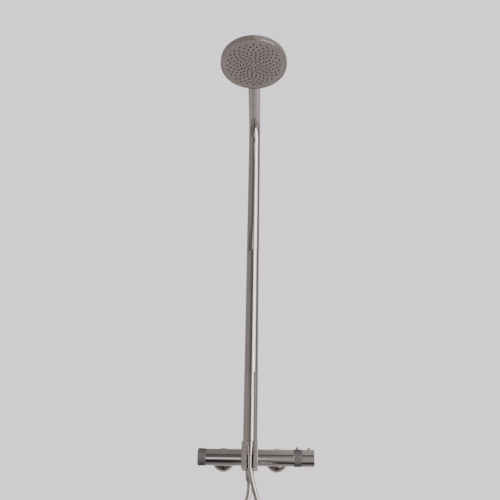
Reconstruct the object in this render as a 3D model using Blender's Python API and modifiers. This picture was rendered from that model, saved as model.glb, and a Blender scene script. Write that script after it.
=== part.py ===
"""Rainfall shower column: a thermostatic bar mixer, a tall riser with an overhead rain shower, and a
stick handset on a hose.

The frame: +Z is up, the wall is the plane y = 0, the column stands out from it towards -Y, and the
origin is on the wall midway between the two supply inlets, at the height of the mixer's axis.
"""

import math

import bpy
from mathutils import Vector

MM = 0.001
GAP = 0.3  # clearance between neighbouring solids, mm

# Driving dimensions, in millimetres
INLET_PITCH = 150.0
BAR_OUT = 66.0  # the mixer's axis from the wall
BAR_R = 21.5
BAR_LEFT = -120.0
BAR_RIGHT = 119.5
BORE_R = 8.0
FLOW_SOCKET_R = 16.0
FLOW_SOCKET_END = -60.0
THERMO_SOCKET_R = 17.0
THERMO_SOCKET_END = 50.0

FLANGE_R = 32.0
FLANGE_H = 19.0
THREAD_IN_WALL = 14.0

KNURL_R = 22.5
FLOW_KNOB_END = -141.0
RING_END = 139.0
RING_PEG_X = 129.0
RING_PEG_R = 3.8
RING_PEG_TOP = 28.5
KNOB_R = 22.0
KNOB_END = 174.0
END_DISC_R = 18.7
BUTTON_X = 161.0
BUTTON_R = 3.5
BUTTON_TOP = 27.0
SPINDLE_R = 4.1

BLOCK_W = 43.0
BLOCK_BACK = 38.0
BLOCK_FRONT = 134.0
BLOCK_TOP = 33.5
BLOCK_BOTTOM = -32.0
HOLDER_OUT = 121.0  # the handset's axis from the wall
HOLDER_X = 1.5
SLOT_W = 17.4

RISER_R = 20.0
RISER_WALL = 1.5
SEAM_Z = 624.0
ARM_Z = 1128.0
BEND_R = 86.0
COUPLING_HALF = 45.0
BRACKET_Z = 595.0

HEAD_OUT = 428.0  # the rain shower's axis from the wall
HEAD_R = 100.0
FACE_Z = 1073.0
RIM_H = 17.0
BALL_Z = FACE_Z + 25.0
BALL_R = 9.0
ARM_END = 452.0

HANDSET_R = 13.0
HANDSET_TOP = 219.0
NUT_TOP_R = 11.9
NUT_LOW_R = 9.0
NUT_LOW = -1.0
NUT_BORE_R = 8.9
HANDSET_FERRULE_LOW = -4.0

OUTLET_NUT_LOW = -60.0
OUTLET_FERRULE_LOW = -64.0
HOSE_R = 7.0
FERRULE_R = 7.6
COIL_R = 70.0
COIL_Z = -222.0
COIL_BACK = 81.0
COIL_PITCH = 15.5

# Route of the hose: from the outlet down to the coil's left side, and from its right side up to the
# handset
OUTLET_ROUTE = [
    (0.0, -66.0, -64.3),
    (0.0, -66.0, -78.0),
    (-4.0, -66.0, -101.0),
    (-20.0, -66.0, -136.0),
    (-45.0, -66.0, -166.0),
    (-64.0, -66.0, -195.0),
    (-70.0, -66.0, -222.0),
]
HANDSET_ROUTE = [
    (70.0, -127.0, -222.0),
    (66.0, -127.0, -196.0),
    (51.0, -127.0, -164.0),
    (33.0, -126.0, -134.0),
    (20.0, -124.0, -104.0),
    (8.0, -122.5, -64.0),
    (2.6, -121.3, -38.0),
    (1.6, -121.0, -18.0),
    (1.5, -121.0, -4.3),
]

STEEL = ("steel", (0.62, 0.60, 0.57), 0.16, 1.0)
SATIN = ("satin_steel", (0.50, 0.48, 0.45), 0.38, 1.0)
GREY = ("knurled_grey", (0.16, 0.17, 0.17), 0.45, 0.6)
BRASS = ("brass", (0.62, 0.47, 0.22), 0.35, 1.0)
RUBBER = ("rubber", (0.03, 0.03, 0.03), 0.70, 0.0)
PLASTIC = ("white_plastic", (0.75, 0.75, 0.72), 0.50, 0.0)
HOSE = ("hose", (0.60, 0.59, 0.57), 0.28, 0.7)


def collection(name):
    made = bpy.data.collections.new(name)
    bpy.context.scene.collection.children.link(made)
    return made


def material(name, look):
    """The piece's own material, from its finish: (label, colour, roughness, metallic)."""
    _, colour, roughness, metallic = look
    made = bpy.data.materials.new(name)
    made.use_nodes = True
    shader = made.node_tree.nodes["Principled BSDF"]
    shader.inputs["Base Color"].default_value = (*colour, 1.0)
    shader.inputs["Roughness"].default_value = roughness
    shader.inputs["Metallic"].default_value = metallic
    made.diffuse_color = (*colour, 1.0)
    return made


def add(name, data, look=None):
    """An object of the model, or a cutter where no finish is given."""
    made = bpy.data.objects.new(name, data)
    if look:
        PARTS.objects.link(made)
        data.materials.append(material(name, look))
    else:
        CUTTERS.objects.link(made)
        made.hide_render = True
        made.display_type = "WIRE"
    return made


def scaled(points):
    return [tuple(value * MM for value in point) for point in points]


TURN_TO = {
    "X": (0.0, math.radians(90), 0.0),
    "Y": (math.radians(-90), 0.0, 0.0),
    "Z": (0.0, 0.0, 0.0),
}


def turned(name, profile, look=None, axis="Z", at=(0.0, 0.0, 0.0), steps=28):
    """A profile of (radius, height) turned about an axis. It runs down its outer side. It is closed
    into a ring unless both its ends lie on the axis."""
    points = [(radius, 0.0, height) for radius, height in profile]
    edges = [(i, i + 1) for i in range(len(points) - 1)]
    if profile[0][0] > 0:
        edges.append((len(points) - 1, 0))
    mesh = bpy.data.meshes.new(name)
    mesh.from_pydata(scaled(points), edges, [])
    made = add(name, mesh, look)
    made.location = scaled([at])[0]
    made.rotation_euler = TURN_TO[axis]
    screw = made.modifiers.new("turn", "SCREW")
    screw.steps = steps
    screw.render_steps = steps
    screw.use_merge_vertices = True
    screw.merge_threshold = 0.00001
    screw.use_smooth_shade = True
    return made


def disc(radius, low, high):
    return [(0.0, high), (radius, high), (radius, low), (0.0, low)]


def ring(inner, outer, low, high):
    return [(inner, high), (outer, high), (outer, low), (inner, low)]


def o_ring(inner, outer, middle):
    """The six-sided section of an O-ring, centred at a height."""
    thick = outer - inner
    across = (inner + outer) / 2
    return [
        (across, middle + thick / 2),
        (outer, middle + thick / 4),
        (outer, middle - thick / 4),
        (across, middle - thick / 2),
        (inner, middle - thick / 4),
        (inner, middle + thick / 4),
    ]


def arc(centre_r, centre_h, radius, start, end, count):
    """Points of a profile on an arc, its angles in degrees from the outward direction."""
    angles = [math.radians(start + (end - start) * i / count) for i in range(count + 1)]
    return [
        (centre_r + radius * math.cos(a), centre_h + radius * math.sin(a))
        for a in angles
    ]


def box(name, low, high, look=None, bevel=0.0):
    size = [b - a for a, b in zip(low, high)]
    middle = [(a + b) / 2 for a, b in zip(low, high)]
    bpy.ops.mesh.primitive_cube_add(size=1.0)
    cube = bpy.context.object
    mesh = cube.data
    bpy.data.objects.remove(cube)
    mesh.name = name
    for vertex in mesh.vertices:
        vertex.co = Vector([c * s * MM for c, s in zip(vertex.co, size)])
    made = add(name, mesh, look)
    made.location = scaled([middle])[0]
    if bevel:
        edge = made.modifiers.new("edges", "BEVEL")
        edge.width = bevel * MM
        edge.segments = 2
    return made


def boolean(piece, other, operation="DIFFERENCE"):
    step = piece.modifiers.new(other.name, "BOOLEAN")
    step.operation = operation
    step.solver = "EXACT"
    step.object = other


def drill(piece, name, radius, axis, at, low, high, steps=24):
    cutter = turned(name + "_cutter", disc(radius, low, high), None, axis, at, steps)
    boolean(piece, cutter)


def curve(name, points, radius, sides, look, caps=True):
    """A tube along a line of points."""
    data = bpy.data.curves.new(name, "CURVE")
    data.dimensions = "3D"
    data.bevel_depth = radius * MM
    data.bevel_resolution = (sides - 4) // 2
    data.use_fill_caps = caps
    spline = data.splines.new("POLY")
    spline.points.add(len(points) - 1)
    for point, place in zip(spline.points, scaled(points)):
        point.co = (*place, 1.0)
    return add(name, data, look)


def as_mesh(piece):
    """The same piece as a mesh, its parts welded, so that it can be cut."""
    evaluated = piece.evaluated_get(bpy.context.evaluated_depsgraph_get())
    mesh = bpy.data.meshes.new_from_object(evaluated)
    name = piece.name
    place = piece.matrix_world.copy()
    bpy.data.objects.remove(piece)
    mesh.name = name
    made = bpy.data.objects.new(name, mesh)
    PARTS.objects.link(made)
    made.matrix_world = place
    return made


def smooth_path(route, spacing):
    """Evenly spaced points on a Catmull-Rom curve through a route."""
    ends = [
        Vector(route[0]) * 2 - Vector(route[1]),
        Vector(route[-1]) * 2 - Vector(route[-2]),
    ]
    knots = [ends[0], *map(Vector, route), ends[1]]
    fine = []
    for i in range(1, len(knots) - 2):
        a, b, c, d = knots[i - 1 : i + 3]
        for k in range(20):
            t = k / 20
            fine.append(
                0.5
                * (
                    2 * b
                    + (c - a) * t
                    + (2 * a - 5 * b + 4 * c - d) * t * t
                    + (3 * b - a - 3 * c + d) * t**3
                )
            )
    fine.append(knots[-2])
    total = sum((q - p).length for p, q in zip(fine, fine[1:]))
    count = max(2, round(total / spacing))
    made, walked, reach = [fine[0]], 0.0, total / count
    for p, q in zip(fine, fine[1:]):
        step = (q - p).length
        while walked + step >= reach * len(made) - 1e-6 and len(made) < count:
            made.append(p.lerp(q, (reach * len(made) - walked) / step))
        walked += step
    return [tuple(p) for p in made] + [tuple(fine[-1])]


def mixer():
    """The bar: a turned body with a socket at each end and two inlet tails at the back."""
    axis_at = (0.0, -BAR_OUT, 0.0)
    body = turned(
        "mixer_body",
        [
            (THERMO_SOCKET_R, BAR_RIGHT),
            (BAR_R - 0.8, BAR_RIGHT),
            (BAR_R, BAR_RIGHT - 0.8),
            (BAR_R, BAR_LEFT + 0.8),
            (BAR_R - 0.8, BAR_LEFT),
            (FLOW_SOCKET_R, BAR_LEFT),
            (FLOW_SOCKET_R, FLOW_SOCKET_END),
            (BORE_R, FLOW_SOCKET_END),
            (BORE_R, THERMO_SOCKET_END),
            (THERMO_SOCKET_R, THERMO_SOCKET_END),
        ],
        STEEL,
        "X",
        axis_at,
        steps=40,
    )
    for side in (-1, 1):
        at = (side * INLET_PITCH / 2, 0.0, 0.0)
        label = "left" if side < 0 else "right"
        tail = turned(
            f"{label}_tail",
            [
                (0.0, -35.5),
                (12.9, -35.5),
                (12.9, -37.2),
                (10.8, -37.2),
                (10.8, -48.3),
                (0.0, -48.3),
            ],
            None,
            "Y",
            at,
            steps=24,
        )
        boolean(body, tail, "UNION")
        drill(body, f"{label}_inlet", BORE_R, "Y", at, -52.0, -30.0)
    drill(body, "water_way", 7.0, "Z", axis_at, -30.0, 30.0)

    block = box(
        "centre_block",
        (-BLOCK_W / 2, -BLOCK_FRONT, BLOCK_BOTTOM),
        (BLOCK_W / 2, -BLOCK_BACK, BLOCK_TOP),
        SATIN,
        bevel=1.5,
    )
    drill(block, "bar_bore", BAR_R + GAP, "X", axis_at, -40.0, 40.0, steps=36)
    drill(block, "riser_port", 10.0 + GAP, "Z", axis_at, 0.0, 60.0)
    drill(block, "hose_port", 10.2 + GAP, "Z", axis_at, -60.0, 0.0)
    seat_at = (HOLDER_X, -HOLDER_OUT, 0.0)
    slope = (NUT_TOP_R - NUT_LOW_R) / (BLOCK_TOP - NUT_LOW)
    mouth = BLOCK_TOP + 10.0
    seat = turned(
        "holder_seat_cutter",
        [
            (0.0, mouth),
            (NUT_LOW_R + GAP + slope * (mouth - NUT_LOW), mouth),
            (NUT_LOW_R + GAP, NUT_LOW),
            (NUT_LOW_R + GAP, -60.0),
            (0.0, -60.0),
        ],
        None,
        "Z",
        seat_at,
    )
    boolean(block, seat)
    slot = box(
        "holder_slot_cutter",
        (HOLDER_X - SLOT_W / 2, -BLOCK_FRONT - 10.0, BLOCK_BOTTOM - 10.0),
        (HOLDER_X + SLOT_W / 2, -HOLDER_OUT, BLOCK_TOP + 10.0),
    )
    boolean(block, slot)


def left_controls():
    """The flow control: a ceramic cartridge, its spindle and the knurled knob."""
    at = (0.0, -BAR_OUT, 0.0)
    turned(
        "flow_cartridge",
        [
            (SPINDLE_R + GAP, -92.0),
            (13.0, -92.0),
            (13.0, -98.0),
            (FLOW_SOCKET_R - GAP, -98.0),
            (FLOW_SOCKET_R - GAP, -118.0),
            (SPINDLE_R + GAP, -118.0),
        ],
        BRASS,
        "X",
        at,
        steps=24,
    )
    turned("flow_spindle", disc(SPINDLE_R, -134.0, -94.0), BRASS, "X", at, steps=16)
    turned(
        "flow_knob",
        [
            (SPINDLE_R + GAP, BAR_LEFT - GAP),
            (KNURL_R - 0.8, BAR_LEFT - GAP),
            (KNURL_R, BAR_LEFT - GAP - 0.8),
            (KNURL_R, FLOW_KNOB_END + 0.8),
            (KNURL_R - 0.8, FLOW_KNOB_END),
            (END_DISC_R + GAP, FLOW_KNOB_END),
            (END_DISC_R + GAP, -131.0),
            (SPINDLE_R + GAP, -131.0),
        ],
        GREY,
        "X",
        at,
    )
    turned(
        "flow_end_disc",
        disc(END_DISC_R, FLOW_KNOB_END + 0.4, FLOW_KNOB_END + 3.0),
        STEEL,
        "X",
        at,
    )


def right_controls():
    """The diverter ring around the thermostatic cartridge, and the temperature knob beyond it."""
    at = (0.0, -BAR_OUT, 0.0)
    turned(
        "diverter_bush",
        ring(14.9, THERMO_SOCKET_R - GAP, 95.0, 118.0),
        BRASS,
        "X",
        at,
        steps=24,
    )
    turned("diverter_rotor", ring(10.6, 14.6, 95.0, 137.0), BRASS, "X", at, steps=24)
    divider = turned(
        "diverter_ring",
        [
            (14.9, RING_END),
            (KNURL_R - 0.8, RING_END),
            (KNURL_R, RING_END - 0.8),
            (KNURL_R, BAR_RIGHT + GAP + 0.8),
            (KNURL_R - 0.8, BAR_RIGHT + GAP),
            (14.9, BAR_RIGHT + GAP),
        ],
        GREY,
        "X",
        at,
    )
    peg_at = (RING_PEG_X, -BAR_OUT, 0.0)
    drill(
        divider, "peg_hole", RING_PEG_R + GAP, "Z", peg_at, 17.5, KNURL_R + 5.0, steps=16
    )
    turned(
        "diverter_peg",
        [
            (0.0, RING_PEG_TOP),
            (RING_PEG_R - 0.8, RING_PEG_TOP),
            (RING_PEG_R, RING_PEG_TOP - 0.8),
            (RING_PEG_R, 17.9),
            (0.0, 17.9),
        ],
        STEEL,
        "Z",
        peg_at,
        steps=16,
    )
    turned(
        "thermostatic_cartridge",
        [
            (0.0, 54.0),
            (SPINDLE_R + GAP, 54.0),
            (SPINDLE_R + GAP, 138.5),
            (10.2, 138.5),
            (10.2, 52.0),
            (0.0, 52.0),
        ],
        BRASS,
        "X",
        at,
        steps=24,
    )
    turned("temperature_spindle", disc(SPINDLE_R, 56.0, 166.0), BRASS, "X", at, steps=16)
    knob = turned(
        "temperature_knob",
        [
            (END_DISC_R + GAP, KNOB_END),
            (KNOB_R - 0.8, KNOB_END),
            (KNOB_R, KNOB_END - 0.8),
            (KNOB_R, RING_END + GAP + 0.8),
            (KNOB_R - 0.8, RING_END + GAP),
            (SPINDLE_R + GAP, RING_END + GAP),
            (SPINDLE_R + GAP, 169.0),
            (8.0, 169.0),
            (8.0, 147.0),
            (END_DISC_R + GAP, 147.0),
        ],
        STEEL,
        "X",
        at,
        steps=32,
    )
    button_at = (BUTTON_X, -BAR_OUT, 0.0)
    drill(
        knob, "button_hole", BUTTON_R + GAP, "Z", button_at, 15.0, KNOB_R + 5.0, steps=16
    )
    turned(
        "temperature_end_disc",
        disc(END_DISC_R, KNOB_END - 3.0, KNOB_END - 0.4),
        STEEL,
        "X",
        at,
    )
    turned(
        "safety_button",
        [
            (0.0, BUTTON_TOP),
            (BUTTON_R - 0.8, BUTTON_TOP),
            (BUTTON_R, BUTTON_TOP - 0.8),
            (BUTTON_R, 18.1),
            (4.8, 18.1),
            (4.8, 16.9),
            (0.0, 16.9),
        ],
        STEEL,
        "Z",
        button_at,
        steps=16,
    )
    coils, per_turn, low, high = 4, 8, 8.8, 16.2
    points = []
    for i in range(coils * per_turn + 1):
        angle = 2 * math.pi * i / per_turn
        points.append(
            (
                BUTTON_X + 2.6 * math.cos(angle),
                -BAR_OUT + 2.6 * math.sin(angle),
                low + (high - low) * i / (coils * per_turn),
            )
        )
    curve("safety_button_spring", points, 0.35, 4, STEEL)


def supply(side):
    """One of the two wall connections, on its own axis along Y."""
    label = "left" if side < 0 else "right"
    at = (side * INLET_PITCH / 2, 0.0, 0.0)
    turned(
        f"{label}_wall_flange",
        [
            (15.0, -FLANGE_H),
            (16.5, -FLANGE_H + 0.3),
            *[
                (radius, -FLANGE_H + 16.0 - 16.0 * math.cos(turn))
                for radius, turn in (
                    (21.0, math.radians(32)),
                    (26.5, math.radians(56)),
                    (30.3, math.radians(76)),
                )
            ],
            (FLANGE_R, -2.6),
            (FLANGE_R, 0.0),
            (28.7, 0.0),
            (28.7, -1.8),
            (22.4, -9.2),
            (15.0, -15.5),
        ][::-1],
        STEEL,
        "Y",
        at,
        steps=28,
    )
    turned(
        f"{label}_wall_union",
        [
            (BORE_R, THREAD_IN_WALL),
            (10.4, THREAD_IN_WALL),
            (10.4, 0.0),
            (14.4, 0.0),
            (14.4, -12.0),
            (12.9, -12.0),
            (12.9, -33.0),
            (BORE_R, -33.0),
        ],
        BRASS,
        "Y",
        at,
        steps=24,
    )
    turned(
        f"{label}_union_nut",
        [
            (12.9 + GAP, -24.0),
            (16.2, -24.0),
            (17.3, -25.2),
            (17.3, -40.0),
            (16.2, -41.4),
            (10.8 + GAP, -41.4),
            (10.8 + GAP, -37.5),
            (12.9 + GAP, -37.5),
        ],
        STEEL,
        "Y",
        at,
        steps=24,
    )
    turned(
        f"{label}_filter_washer", ring(BORE_R, 12.6, -35.2, -33.3), RUBBER, "Y", at, 24
    )
    turned(
        f"{label}_check_valve", ring(3.0, BORE_R - GAP, -50.0, -36.0), PLASTIC, "Y", at, 16
    )


def riser():
    """The lower tube on its spigot, the inner coupling at the seam, and the bent upper tube."""
    at = (0.0, -BAR_OUT, 0.0)
    inside = RISER_R - RISER_WALL
    turned(
        "riser_spigot",
        [
            (7.0, 66.0),
            (inside - GAP, 66.0),
            (inside - GAP, 58.0),
            (17.0, 58.0),
            (17.0, 55.0),
            (inside - GAP, 55.0),
            (inside - GAP, BLOCK_TOP + GAP),
            (10.0, BLOCK_TOP + GAP),
            (10.0, 25.0),
            (7.0, 25.0),
        ],
        BRASS,
        "Z",
        at,
        steps=24,
    )
    turned("riser_base_o_ring", o_ring(17.1, 18.3, 56.5), RUBBER, "Z", at, steps=24)
    lower = turned(
        "lower_riser",
        ring(inside, RISER_R, BLOCK_TOP + GAP, SEAM_Z - 0.2),
        STEEL,
        "Z",
        at,
        steps=36,
    )
    stud_at = (0.0, 0.0, BRACKET_Z)
    drill(lower, "stud_hole", 3.0 + GAP, "Y", stud_at, -55.0, -40.0, steps=12)
    coupling = turned(
        "riser_coupling",
        [
            (14.0, SEAM_Z + COUPLING_HALF),
            (inside - GAP, SEAM_Z + COUPLING_HALF),
            (inside - GAP, SEAM_Z + 14.0),
            (17.0, SEAM_Z + 14.0),
            (17.0, SEAM_Z + 11.0),
            (inside - GAP, SEAM_Z + 11.0),
            (inside - GAP, SEAM_Z - 11.0),
            (17.0, SEAM_Z - 11.0),
            (17.0, SEAM_Z - 14.0),
            (inside - GAP, SEAM_Z - 14.0),
            (inside - GAP, SEAM_Z - COUPLING_HALF),
            (14.0, SEAM_Z - COUPLING_HALF),
        ],
        BRASS,
        "Z",
        at,
        steps=24,
    )
    drill(coupling, "stud_pocket", 3.0 + GAP, "Y", stud_at, -50.6, -40.0, steps=12)
    for label, side in (("lower", -1), ("upper", 1)):
        turned(
            f"{label}_coupling_o_ring",
            o_ring(17.1, 18.3, SEAM_Z + side * 12.5),
            RUBBER,
            "Z",
            at,
            steps=24,
        )
    turned("bracket_base", disc(17.5, -6.0, 0.0), STEEL, "Y", stud_at, steps=24)
    turned(
        "bracket_post",
        [
            (0.0, -6.0 - GAP),
            (9.0, -6.0 - GAP),
            (9.0, -45.6),
            (3.0 + GAP, -45.6),
            (3.0 + GAP, -38.0),
            (0.0, -38.0),
        ],
        STEEL,
        "Y",
        stud_at,
        steps=24,
    )
    turned("bracket_stud", disc(3.0, -50.2, -38.4), BRASS, "Y", stud_at, steps=12)

    bend = [
        (
            0.0,
            -BAR_OUT - BEND_R * (1 - math.cos(math.radians(9 * i))),
            ARM_Z - BEND_R + BEND_R * math.sin(math.radians(9 * i)),
        )
        for i in range(11)
    ]
    route = [(0.0, -BAR_OUT, SEAM_Z + 0.2), *bend, (0.0, -ARM_END, ARM_Z)]
    upper = as_mesh(curve("upper_riser", route, RISER_R, 28, STEEL, caps=False))
    shell = upper.modifiers.new("tube_wall", "SOLIDIFY")
    shell.thickness = RISER_WALL * MM
    shell.offset = -1.0
    drill(
        upper,
        "arm_outlet",
        4.5 + GAP,
        "Z",
        (0.0, -HEAD_OUT, 0.0),
        ARM_Z - 30.0,
        ARM_Z - 10.0,
        steps=16,
    )
    turned(
        "arm_end_plug",
        [
            (0.0, -ARM_END + 10.0),
            (inside - GAP, -ARM_END + 10.0),
            (inside - GAP, -ARM_END - GAP),
            (RISER_R, -ARM_END - GAP),
            (RISER_R, -ARM_END - 2.2),
            (RISER_R - 1.0, -ARM_END - 3.2),
            (0.0, -ARM_END - 3.2),
        ],
        STEEL,
        "Y",
        (0.0, 0.0, ARM_Z),
    )


def rain_shower():
    """The ball joint under the arm, and the round head with its shell, face and nozzle mat."""
    at = (0.0, -HEAD_OUT, FACE_Z)
    arm_low = ARM_Z - RISER_R - FACE_Z
    turned(
        "head_ball_stud",
        [
            (2.5, arm_low + 14.0),
            (4.5, arm_low + 14.0),
            (4.5, arm_low - GAP),
            (10.0, arm_low - GAP),
            (10.0, arm_low - 2.0),
            (4.5, arm_low - 2.0),
            (4.5, 19.0),
            (2.5, 19.0),
        ],
        BRASS,
        "Z",
        at,
        steps=24,
    )
    turned(
        "stud_locknut",
        ring(4.5 + GAP, 9.0, arm_low + 4.6, arm_low + 10.0),
        BRASS,
        "Z",
        at,
        steps=24,
    )
    bore = 4.5 + GAP
    half = math.degrees(math.acos(bore / BALL_R))
    turned(
        "head_ball",
        arc(0.0, BALL_Z - FACE_Z, BALL_R, half, -half, 8),
        STEEL,
        "Z",
        at,
        steps=20,
    )
    turned(
        "ball_joint_nut",
        [
            (8.1, 30.0),
            (13.0, 30.0),
            (14.0, 29.0),
            (14.0, 21.6),
            (BALL_R + 0.4, 21.6),
            (BALL_R + 0.4, 26.0),
        ],
        STEEL,
        "Z",
        at,
    )
    turned(
        "head_shell",
        [
            (BALL_R + 0.4, 21.3),
            (16.5, 21.3),
            (17.0, 20.8),
            (17.0, 19.0),
            (60.0, RIM_H + 0.6),
            *arc(HEAD_R - 2.5, RIM_H - 2.5, 2.5, 90, 0, 2),
            (HEAD_R, 0.6),
            (HEAD_R - 0.6, 0.0),
            (HEAD_R - 2.4, 0.0),
            (HEAD_R - 2.4, 10.0),
            (HEAD_R - 6.0, 12.6),
            (20.0, 14.0),
            (5.0, 14.0),
            (5.0, 15.6),
            (BALL_R + 0.4, 15.6),
        ],
        STEEL,
        "Z",
        at,
        steps=48,
    )
    turned(
        "head_face_plate",
        [
            (0.0, 2.4),
            (HEAD_R - 2.7, 2.4),
            (HEAD_R - 2.7, 0.9),
            (HEAD_R - 3.3, 0.3),
            (0.0, 0.3),
        ],
        SATIN,
        "Z",
        at,
        steps=48,
    )
    turned("nozzle_mat", disc(HEAD_R - 12.0, 2.7, 5.4), RUBBER, "Z", at, steps=32)
    turned(
        "head_gasket", ring(HEAD_R - 9.0, HEAD_R - 3.0, 2.7, 4.6), RUBBER, "Z", at, steps=40
    )


def handset():
    """The stick handset standing in the block's seat, on its conical nut."""
    at = (HOLDER_X, -HOLDER_OUT, 0.0)
    body_top = HANDSET_TOP - 6.0
    turned(
        "handset_body",
        [
            (10.5, body_top),
            (HANDSET_R, body_top),
            (HANDSET_R, BLOCK_TOP + 1.1),
            (HANDSET_R - 0.8, BLOCK_TOP + GAP),
            (NUT_BORE_R - GAP, BLOCK_TOP + GAP),
            (NUT_BORE_R - GAP, 13.0),
            (5.0, 13.0),
            (5.0, 38.0),
            (10.5, 38.0),
        ],
        STEEL,
        "Z",
        at,
    )
    turned(
        "handset_spray_cap",
        [
            (9.2, HANDSET_TOP),
            (HANDSET_R - 1.2, HANDSET_TOP),
            (HANDSET_R, HANDSET_TOP - 1.2),
            (HANDSET_R, body_top + GAP),
            (10.2, body_top + GAP),
            (10.2, body_top - 6.0),
            (9.2, body_top - 6.0),
        ],
        STEEL,
        "Z",
        at,
    )
    turned(
        "handset_spray_insert",
        disc(8.9, HANDSET_TOP - 8.0, HANDSET_TOP - 0.8),
        RUBBER,
        "Z",
        at,
        steps=24,
    )
    turned("handset_flow_regulator", ring(1.5, 4.7, 15.0, 22.0), PLASTIC, "Z", at, 16)
    turned(
        "handset_nut",
        [
            (NUT_BORE_R, BLOCK_TOP - 0.2),
            (NUT_TOP_R - 0.3, BLOCK_TOP - 0.2),
            (NUT_TOP_R, BLOCK_TOP - 0.7),
            (NUT_LOW_R, NUT_LOW + 0.4),
            (NUT_LOW_R - 0.4, NUT_LOW),
            (FERRULE_R + GAP, NUT_LOW),
            (FERRULE_R + GAP, 8.0),
            (NUT_BORE_R, 8.0),
        ],
        STEEL,
        "Z",
        at,
    )
    turned("handset_washer", ring(5.0, NUT_BORE_R - GAP, 10.7, 12.7), RUBBER, "Z", at, steps=24)
    turned(
        "handset_ferrule",
        [
            (4.0, 10.4),
            (NUT_BORE_R - GAP, 10.4),
            (NUT_BORE_R - GAP, 8.3),
            (FERRULE_R, 8.3),
            (FERRULE_R, HANDSET_FERRULE_LOW),
            (4.0, HANDSET_FERRULE_LOW),
        ],
        STEEL,
        "Z",
        at,
        steps=24,
    )


def outlet():
    """The hose connection under the block."""
    at = (0.0, -BAR_OUT, 0.0)
    turned("outlet_nipple", ring(6.0, 10.2, -45.0, -25.0), BRASS, "Z", at, steps=24)
    turned("outlet_washer", ring(6.0, 10.0, -47.2, -45.3), RUBBER, "Z", at, steps=24)
    turned(
        "outlet_nut",
        [
            (10.2 + GAP, BLOCK_BOTTOM - 0.5),
            (11.5, BLOCK_BOTTOM - 0.5),
            (11.5, -50.0),
            (9.4, OUTLET_NUT_LOW + 0.4),
            (9.0, OUTLET_NUT_LOW),
            (FERRULE_R + GAP, OUTLET_NUT_LOW),
            (FERRULE_R + GAP, -50.5),
            (10.2 + GAP, -50.0),
        ],
        STEEL,
        "Z",
        at,
    )
    turned(
        "outlet_ferrule",
        [
            (4.0, -47.5),
            (9.8, -47.5),
            (9.8, -49.6),
            (FERRULE_R, -49.6),
            (FERRULE_R, OUTLET_FERRULE_LOW),
            (4.0, OUTLET_FERRULE_LOW),
        ],
        STEEL,
        "Z",
        at,
        steps=24,
    )


def hose():
    """The hose's two free runs, the solid of its tied coil, and the tie."""
    curve("hose_outlet_run", smooth_path(OUTLET_ROUTE, 14.0), HOSE_R, 12, HOSE)
    curve("hose_handset_run", smooth_path(HANDSET_ROUTE, 14.0), HOSE_R, 12, HOSE)
    reach = HOSE_R + GAP
    back = COIL_BACK - reach
    front = COIL_BACK + 2 * COIL_PITCH + reach
    at = (0.0, 0.0, COIL_Z)
    turned(
        "hose_coil",
        [
            (COIL_R - reach, -back - 3.0),
            (COIL_R - reach + 3.0, -back),
            (COIL_R + reach - 3.0, -back),
            (COIL_R + reach, -back - 3.0),
            (COIL_R + reach, -front + 3.0),
            (COIL_R + reach - 3.0, -front),
            (COIL_R - reach + 3.0, -front),
            (COIL_R - reach, -front + 3.0),
        ],
        HOSE,
        "Y",
        at,
        steps=28,
    )
    wrap, thick, wide = 0.9, 1.6, 8.0
    low = COIL_Z - COIL_R - reach - wrap
    high = COIL_Z - COIL_R + reach + wrap
    tie = box(
        "coil_tie",
        (-wide, -front - wrap - thick, low - thick),
        (wide, -back + wrap + thick, high + thick),
        RUBBER,
    )
    hole = box(
        "tie_cutter",
        (-wide - 5.0, -front - wrap, low),
        (wide + 5.0, -back + wrap, high),
    )
    boolean(tie, hole)


for leftover in list(bpy.data.objects):
    bpy.data.objects.remove(leftover)
PARTS = collection("rainfall_shower_column")
CUTTERS = collection("cutters")

mixer()
left_controls()
right_controls()
for inlet_side in (-1, 1):
    supply(inlet_side)
riser()
rain_shower()
handset()
outlet()
hose()
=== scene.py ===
"""The looks of the rainfall shower column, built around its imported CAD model.

Lengths inside the builders are in millimetres and become metres in the meshes. The frame is the CAD
model's: +Z up, the wall at y = 0, the column in front of it towards -Y.
"""

import math

import bpy
import bmesh
from mathutils import Matrix, Vector

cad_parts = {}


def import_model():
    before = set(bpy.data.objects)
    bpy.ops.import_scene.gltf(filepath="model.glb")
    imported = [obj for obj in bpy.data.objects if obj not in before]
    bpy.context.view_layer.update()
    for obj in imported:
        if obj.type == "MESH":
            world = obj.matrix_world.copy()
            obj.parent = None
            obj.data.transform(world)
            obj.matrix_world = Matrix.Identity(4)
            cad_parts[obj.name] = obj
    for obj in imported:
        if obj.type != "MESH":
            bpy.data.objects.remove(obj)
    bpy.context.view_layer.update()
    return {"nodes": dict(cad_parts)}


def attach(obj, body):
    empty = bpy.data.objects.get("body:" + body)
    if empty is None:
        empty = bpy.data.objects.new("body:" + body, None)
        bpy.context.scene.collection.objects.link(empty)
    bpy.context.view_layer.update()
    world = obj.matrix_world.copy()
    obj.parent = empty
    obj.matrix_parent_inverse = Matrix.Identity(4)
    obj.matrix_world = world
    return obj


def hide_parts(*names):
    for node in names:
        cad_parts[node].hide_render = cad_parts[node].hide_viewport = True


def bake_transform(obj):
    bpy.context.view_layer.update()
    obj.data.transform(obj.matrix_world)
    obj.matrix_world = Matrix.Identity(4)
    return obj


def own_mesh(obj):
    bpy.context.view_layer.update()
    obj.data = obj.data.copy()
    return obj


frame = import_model()
MM = 0.001
GAP = 0.3

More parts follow.
